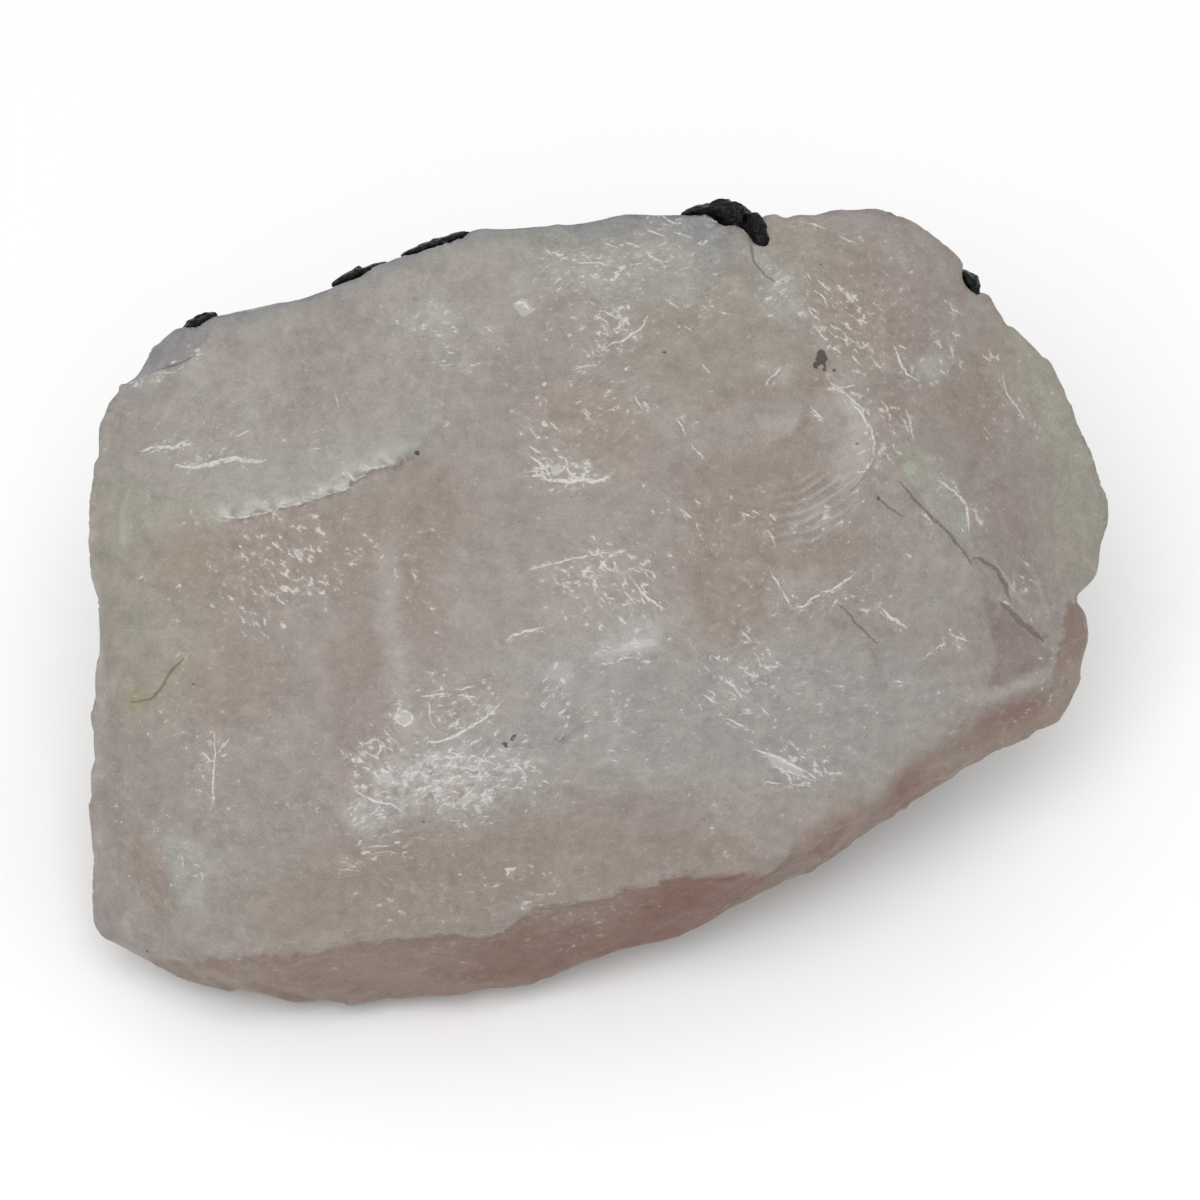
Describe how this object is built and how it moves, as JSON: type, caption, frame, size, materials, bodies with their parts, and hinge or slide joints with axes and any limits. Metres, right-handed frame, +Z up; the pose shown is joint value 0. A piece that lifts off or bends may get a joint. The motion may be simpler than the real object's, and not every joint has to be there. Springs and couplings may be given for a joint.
{
  "type": "rough rose quartz chunk",
  "caption": "Rough palm-sized chunk of pale pinkish-grey rose quartz with black mineral patches along its crest, resting on a small flat break.",
  "frame": {"origin": "on the surface that the stone stands on, under the middle of its box", "axes": "+Z up from the flat resting break; +X to the right along the stone's length; +Y to the back, away from the broad main face"},
  "size_m": [0.0998, 0.0664, 0.0531],
  "materials": {
    "rose_quartz": "satin, milky and faintly see-through, with fine fracture glints and pale veils",
    "black_mineral": "dark, finely splintered, half glossy"
  },
  "bodies": {
    "root": {"rose_quartz": "rose_quartz", "black_mineral_crest": "black_mineral", "black_mineral_left_corner": "black_mineral", "black_mineral_left_edge": "black_mineral", "black_mineral_upper_edge": "black_mineral", "black_mineral_right_edge": "black_mineral"}
  },
  "joints": []
}
